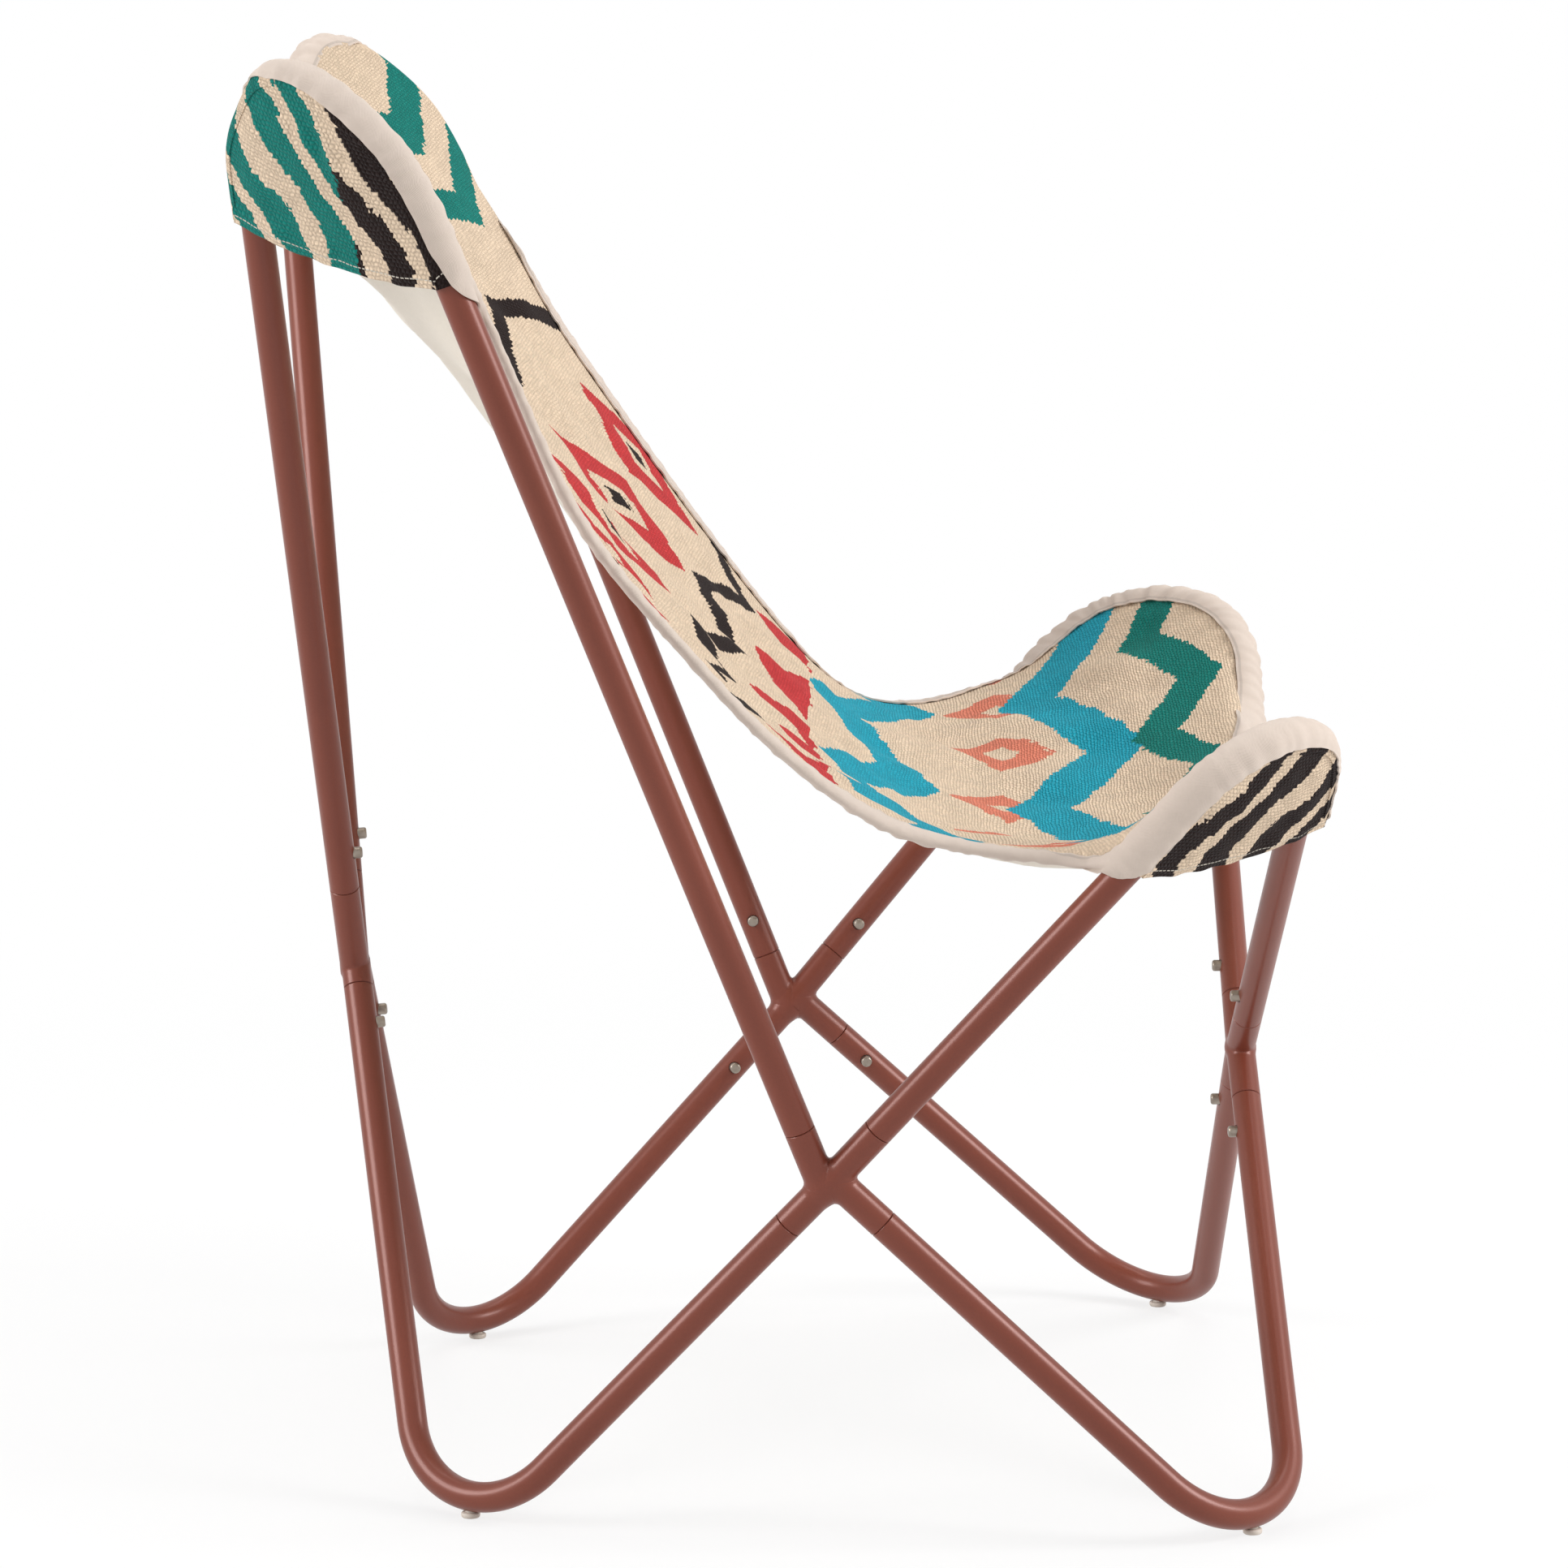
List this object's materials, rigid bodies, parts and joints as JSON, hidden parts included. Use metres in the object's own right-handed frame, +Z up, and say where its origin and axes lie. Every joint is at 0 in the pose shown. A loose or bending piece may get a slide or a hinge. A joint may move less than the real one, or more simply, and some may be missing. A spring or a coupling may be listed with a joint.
{
  "type": "butterfly sling chair",
  "caption": "Knock-down lounge chair of bent steel tube feet and loops joined at welded crosses with spring buttons, carrying a woven, canvas-lined sling hung by corner pockets.",
  "frame": {"origin": "on the floor, under the centre of the chair's outline", "axes": "+Z up, -Y to the chair's front, +X to a sitter's left"},
  "size_m": [0.7176, 0.6784, 0.9017],
  "materials": {
    "frame_coat": "satin copper-brown powder coat",
    "pin_steel": "plain turned steel",
    "spring_steel": "rolled spring strip",
    "glide_nylon": "off-white nylon",
    "woven_wool": "coarse flat weave with teal, turquoise, coral, red and black figures on a natural ground",
    "canvas": "plain natural canvas"
  },
  "bodies": {
    "chair": {"right_cross": "frame_coat", "left_cross": "frame_coat", "rear_cross": "frame_coat", "front_cross": "frame_coat", "right_rear_loop": "frame_coat", "right_front_loop": "frame_coat", "right_rear_foot": "frame_coat", "right_front_foot": "frame_coat", "left_rear_loop": "frame_coat", "left_front_loop": "frame_coat", "left_rear_foot": "frame_coat", "left_front_foot": "frame_coat", "right_rear_glide": "glide_nylon", "right_front_glide": "glide_nylon", "left_rear_glide": "glide_nylon", "left_front_glide": "glide_nylon", "right_rear_loop_side_spring": "spring_steel", "right_rear_loop_middle_spring": "spring_steel", "right_front_loop_side_spring": "spring_steel", "right_front_loop_middle_spring": "spring_steel", "right_rear_foot_side_spring": "spring_steel", "right_rear_foot_middle_spring": "spring_steel", "right_front_foot_side_spring": "spring_steel", "right_front_foot_middle_spring": "spring_steel", "left_rear_loop_side_spring": "spring_steel", "left_rear_loop_middle_spring": "spring_steel", "left_front_loop_side_spring": "spring_steel", "left_front_loop_middle_spring": "spring_steel", "left_rear_foot_side_spring": "spring_steel", "left_rear_foot_middle_spring": "spring_steel", "left_front_foot_side_spring": "spring_steel", "left_front_foot_middle_spring": "spring_steel", "sling_face": "woven_wool", "sling_lining": "canvas", "sling_binding": "canvas", "right_rear_ear_band": "canvas", "right_front_ear_band": "canvas", "left_rear_ear_band": "canvas", "left_front_ear_band": "canvas", "right_rear_pocket": "woven_wool", "right_front_pocket": "woven_wool", "left_rear_pocket": "woven_wool", "left_front_pocket": "woven_wool"},
    "right_rear_loop_side_button": {"right_rear_loop_side_button": "pin_steel"},
    "right_rear_loop_middle_button": {"right_rear_loop_middle_button": "pin_steel"},
    "right_front_loop_side_button": {"right_front_loop_side_button": "pin_steel"},
    "right_front_loop_middle_button": {"right_front_loop_middle_button": "pin_steel"},
    "right_rear_foot_side_button": {"right_rear_foot_side_button": "pin_steel"},
    "right_rear_foot_middle_button": {"right_rear_foot_middle_button": "pin_steel"},
    "right_front_foot_side_button": {"right_front_foot_side_button": "pin_steel"},
    "right_front_foot_middle_button": {"right_front_foot_middle_button": "pin_steel"},
    "left_rear_loop_side_button": {"left_rear_loop_side_button": "pin_steel"},
    "left_rear_loop_middle_button": {"left_rear_loop_middle_button": "pin_steel"},
    "left_front_loop_side_button": {"left_front_loop_side_button": "pin_steel"},
    "left_front_loop_middle_button": {"left_front_loop_middle_button": "pin_steel"},
    "left_rear_foot_side_button": {"left_rear_foot_side_button": "pin_steel"},
    "left_rear_foot_middle_button": {"left_rear_foot_middle_button": "pin_steel"},
    "left_front_foot_side_button": {"left_front_foot_side_button": "pin_steel"},
    "left_front_foot_middle_button": {"left_front_foot_middle_button": "pin_steel"}
  },
  "joints": [
    {"name": "right_rear_loop_side_press", "type": "slide", "parent": "chair", "child": "right_rear_loop_side_button", "axis": [-0.996, -0.033, -0.0833], "range_m": [0, 0.0071], "stiffness_N_per_m": 600, "springref_m": -0.005, "deforming": ["right_rear_loop_side_spring"]},
    {"name": "right_rear_loop_middle_press", "type": "slide", "parent": "chair", "child": "right_rear_loop_middle_button", "axis": [0.0322, 0.9968, -0.0737], "range_m": [0, 0.0071], "stiffness_N_per_m": 600, "springref_m": -0.005, "deforming": ["right_rear_loop_middle_spring"]},
    {"name": "right_front_loop_side_press", "type": "slide", "parent": "chair", "child": "right_front_loop_side_button", "axis": [-0.9838, 0.1178, -0.1354], "range_m": [0, 0.0071], "stiffness_N_per_m": 600, "springref_m": -0.005, "deforming": ["right_front_loop_side_spring"]},
    {"name": "right_front_loop_middle_press", "type": "slide", "parent": "chair", "child": "right_front_loop_middle_button", "axis": [0.0142, -0.9998, -0.0123], "range_m": [0, 0.0071], "stiffness_N_per_m": 600, "springref_m": -0.005, "deforming": ["right_front_loop_middle_spring"]},
    {"name": "right_rear_foot_side_press", "type": "slide", "parent": "chair", "child": "right_rear_foot_side_button", "axis": [-0.9916, 0.0879, -0.0948], "range_m": [0, 0.0071], "stiffness_N_per_m": 600, "springref_m": -0.005, "deforming": ["right_rear_foot_side_spring"]},
    {"name": "right_rear_foot_middle_press", "type": "slide", "parent": "chair", "child": "right_rear_foot_middle_button", "axis": [-0.0685, 0.9924, -0.1022], "range_m": [0, 0.0071], "stiffness_N_per_m": 600, "springref_m": -0.005, "deforming": ["right_rear_foot_middle_spring"]},
    {"name": "right_front_foot_side_press", "type": "slide", "parent": "chair", "child": "right_front_foot_side_button", "axis": [-0.9974, 0.0529, 0.049], "range_m": [0, 0.0071], "stiffness_N_per_m": 600, "springref_m": -0.005, "deforming": ["right_front_foot_side_spring"]},
    {"name": "right_front_foot_middle_press", "type": "slide", "parent": "chair", "child": "right_front_foot_middle_button", "axis": [0.0113, -0.9999, 0.0105], "range_m": [0, 0.0071], "stiffness_N_per_m": 600, "springref_m": -0.005, "deforming": ["right_front_foot_middle_spring"]},
    {"name": "left_rear_loop_side_press", "type": "slide", "parent": "chair", "child": "left_rear_loop_side_button", "axis": [0.996, -0.033, -0.0833], "range_m": [0, 0.0071], "stiffness_N_per_m": 600, "springref_m": -0.005, "deforming": ["left_rear_loop_side_spring"]},
    {"name": "left_rear_loop_middle_press", "type": "slide", "parent": "chair", "child": "left_rear_loop_middle_button", "axis": [-0.0322, 0.9968, -0.0737], "range_m": [0, 0.0071], "stiffness_N_per_m": 600, "springref_m": -0.005, "deforming": ["left_rear_loop_middle_spring"]},
    {"name": "left_front_loop_side_press", "type": "slide", "parent": "chair", "child": "left_front_loop_side_button", "axis": [0.9838, 0.1178, -0.1354], "range_m": [0, 0.0071], "stiffness_N_per_m": 600, "springref_m": -0.005, "deforming": ["left_front_loop_side_spring"]},
    {"name": "left_front_loop_middle_press", "type": "slide", "parent": "chair", "child": "left_front_loop_middle_button", "axis": [-0.0142, -0.9998, -0.0123], "range_m": [0, 0.0071], "stiffness_N_per_m": 600, "springref_m": -0.005, "deforming": ["left_front_loop_middle_spring"]},
    {"name": "left_rear_foot_side_press", "type": "slide", "parent": "chair", "child": "left_rear_foot_side_button", "axis": [0.9847, 0.1198, -0.1266], "range_m": [0, 0.0071], "stiffness_N_per_m": 600, "springref_m": -0.005, "deforming": ["left_rear_foot_side_spring"]},
    {"name": "left_rear_foot_middle_press", "type": "slide", "parent": "chair", "child": "left_rear_foot_middle_button", "axis": [0.0616, 0.9932, -0.0988], "range_m": [0, 0.0071], "stiffness_N_per_m": 600, "springref_m": -0.005, "deforming": ["left_rear_foot_middle_spring"]},
    {"name": "left_front_foot_side_press", "type": "slide", "parent": "chair", "child": "left_front_foot_side_button", "axis": [0.9974, 0.0529, 0.049], "range_m": [0, 0.0071], "stiffness_N_per_m": 600, "springref_m": -0.005, "deforming": ["left_front_foot_side_spring"]},
    {"name": "left_front_foot_middle_press", "type": "slide", "parent": "chair", "child": "left_front_foot_middle_button", "axis": [-0.0113, -0.9999, 0.0105], "range_m": [0, 0.0071], "stiffness_N_per_m": 600, "springref_m": -0.005, "deforming": ["left_front_foot_middle_spring"]}
  ]
}
